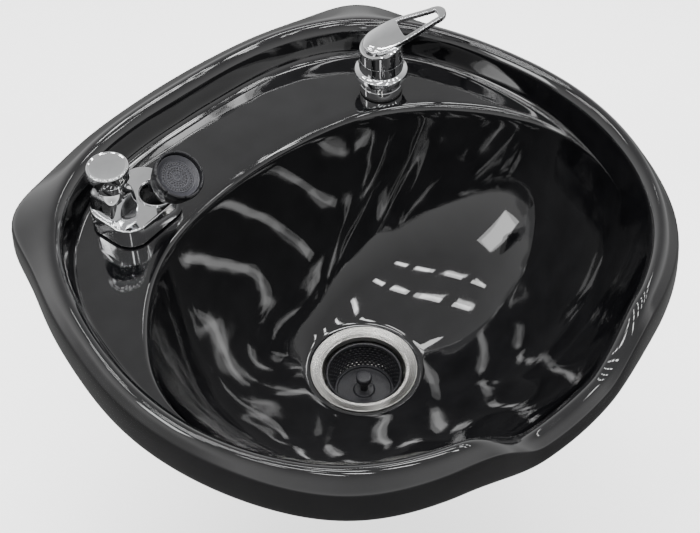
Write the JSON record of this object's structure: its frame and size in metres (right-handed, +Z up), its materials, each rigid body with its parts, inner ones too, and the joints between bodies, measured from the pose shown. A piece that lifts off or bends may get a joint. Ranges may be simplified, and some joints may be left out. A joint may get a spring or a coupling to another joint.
{
  "type": "shampoo backwash unit",
  "caption": "Gloss basin with a neck rest, rear deck, lever faucet, vacuum breaker, pull-out spray head and basket strainer, hung on a wall bracket.",
  "frame": {"origin": "centre of the wall bracket's rear face, which lies on the wall", "axes": "+Y out of the bracket's rear face towards the wall, +Z up, +X to the right of someone facing the wall"},
  "size_m": [0.5986, 0.5873, 0.4769],
  "materials": {
    "gloss_shell": "mirror gloss",
    "timber": "sawn",
    "zinc_steel": "zinc plated",
    "stainless": "brushed",
    "black_rubber": "matte",
    "fibre": "matte",
    "brass": "machined",
    "copper": "drawn copper",
    "chrome": "polished",
    "black_plastic": "satin",
    "grey_plastic": "satin",
    "acetal": "matte",
    "ceramic": "lapped"
  },
  "bodies": {
    "basin": {"bowl_shell": "gloss_shell", "backing_board": "timber", "wall_bracket": "zinc_steel", "bracket_screw_1": "zinc_steel", "bracket_screw_2": "zinc_steel", "bracket_screw_3": "zinc_steel", "strainer_body": "stainless", "drain_gasket": "black_rubber", "friction_washer": "fibre", "strainer_locknut": "brass", "tailpiece": "chrome", "tail_washer": "black_rubber", "slip_nut": "chrome", "faucet_gasket": "black_rubber", "faucet_escutcheon": "chrome", "faucet_body": "chrome", "cartridge_body": "acetal", "cartridge_nut": "brass", "fixed_disc": "ceramic", "faucet_shank": "brass", "shank_washer": "zinc_steel", "shank_nut": "brass", "hot_tail": "copper", "hot_union": "brass", "cold_tail": "copper", "cold_union": "brass", "crossover_tube": "copper", "crossover_nut": "brass", "base_gasket": "black_rubber", "base_plate": "chrome", "breaker_hub": "chrome", "breaker_seat": "black_rubber", "breaker_cap": "chrome", "inlet_shank": "brass", "inlet_washer": "zinc_steel", "inlet_nut": "brass", "outlet_shank": "brass", "outlet_washer": "zinc_steel", "outlet_nut": "brass", "spray_holder": "chrome"},
    "swivel": {"faucet_dome": "chrome"},
    "handle": {"lever": "chrome", "lever_stem": "stainless"},
    "disc": {"moving_disc": "ceramic"},
    "basket": {"strainer_basket": "black_plastic", "basket_seal": "black_rubber", "basket_knob": "black_plastic"},
    "poppet": {"breaker_poppet": "acetal"},
    "spray": {"spray_neck": "black_plastic", "hose_ferrule": "chrome", "spray_bell": "black_plastic", "spray_face": "grey_plastic", "spray_bezel": "black_plastic"}
  },
  "joints": [
    {"name": "temperature_turn", "type": "hinge", "parent": "basin", "child": "swivel", "pos_m": [0.169, -0.1575, 0.118], "axis": [0, 0, 1], "range_deg": [-50, 50]},
    {"name": "lever_lift", "type": "hinge", "parent": "swivel", "child": "handle", "pos_m": [0.15222, -0.14967, 0.13302], "axis": [-0.4226, -0.9063, 0], "range_deg": [0, 20]},
    {"name": "disc_slide", "type": "slide", "parent": "swivel", "child": "disc", "axis": [0.9063, -0.4226, 0], "range_m": [0, 0.003]},
    {"name": "basket_lift", "type": "slide", "parent": "basin", "child": "basket", "axis": [0, 0, 1], "range_m": [0, 0.08]},
    {"name": "poppet_float", "type": "slide", "parent": "basin", "child": "poppet", "axis": [0, 0, 1], "range_m": [0, 0.003]},
    {"name": "spray_pull", "type": "slide", "parent": "basin", "child": "spray", "axis": [0.119, -0.5111, 0.8512], "range_m": [0, 0.15]}
  ],
  "couplings": [
    {"joint": "disc_slide", "follows": "lever_lift", "m_per_rad": 0.00859}
  ]
}
